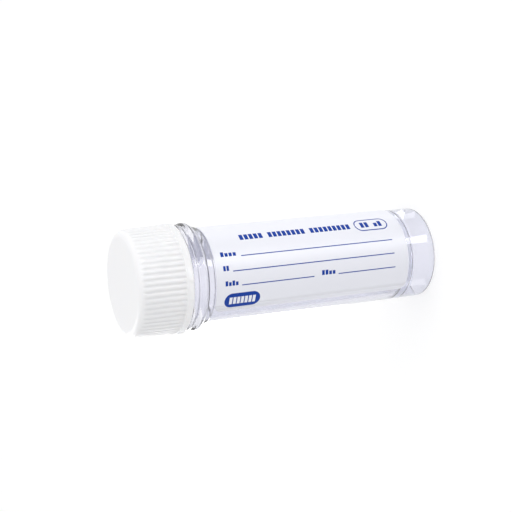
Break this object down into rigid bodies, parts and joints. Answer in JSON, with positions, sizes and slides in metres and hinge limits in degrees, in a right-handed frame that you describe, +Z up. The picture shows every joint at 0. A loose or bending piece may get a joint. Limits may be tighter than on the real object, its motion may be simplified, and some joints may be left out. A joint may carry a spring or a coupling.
{
  "type": "specimen container",
  "caption": "Clear cylindrical specimen tube with a hollow skirt, a ringed collar, a wrap-round write-on label and a ribbed white screw cap.",
  "frame": {"origin": "centre of the foot, on the surface the container stands on", "axes": "+Z up the tube's axis towards the cap, -Y out of the middle of the label's print"},
  "size_m": [0.031, 0.031, 0.0932],
  "materials": {
    "clear_polystyrene": "clear, glossy, moulded",
    "white_polyethylene": "satin, moulded",
    "foamed_polyethylene": "fine foam with a skin",
    "label_paper": "smooth coated paper"
  },
  "bodies": {
    "container": {"tube_body": "clear_polystyrene", "label": "label_paper"},
    "seal": {"sealing_disc": "foamed_polyethylene"},
    "cap": {"screw_cap": "white_polyethylene"}
  },
  "joints": [
    {"name": "cap_lift", "type": "slide", "parent": "container", "child": "seal", "axis": [0, 0, 1], "range_m": [0, 0.016]},
    {"name": "cap_turn", "type": "hinge", "parent": "seal", "child": "cap", "pos_m": [0, 0, 0.0855], "axis": [0, 0, 1], "range_deg": [0, 1440]}
  ],
  "couplings": [
    {"joint": "cap_lift", "follows": "cap_turn", "m_per_rad": 0.00063662}
  ]
}
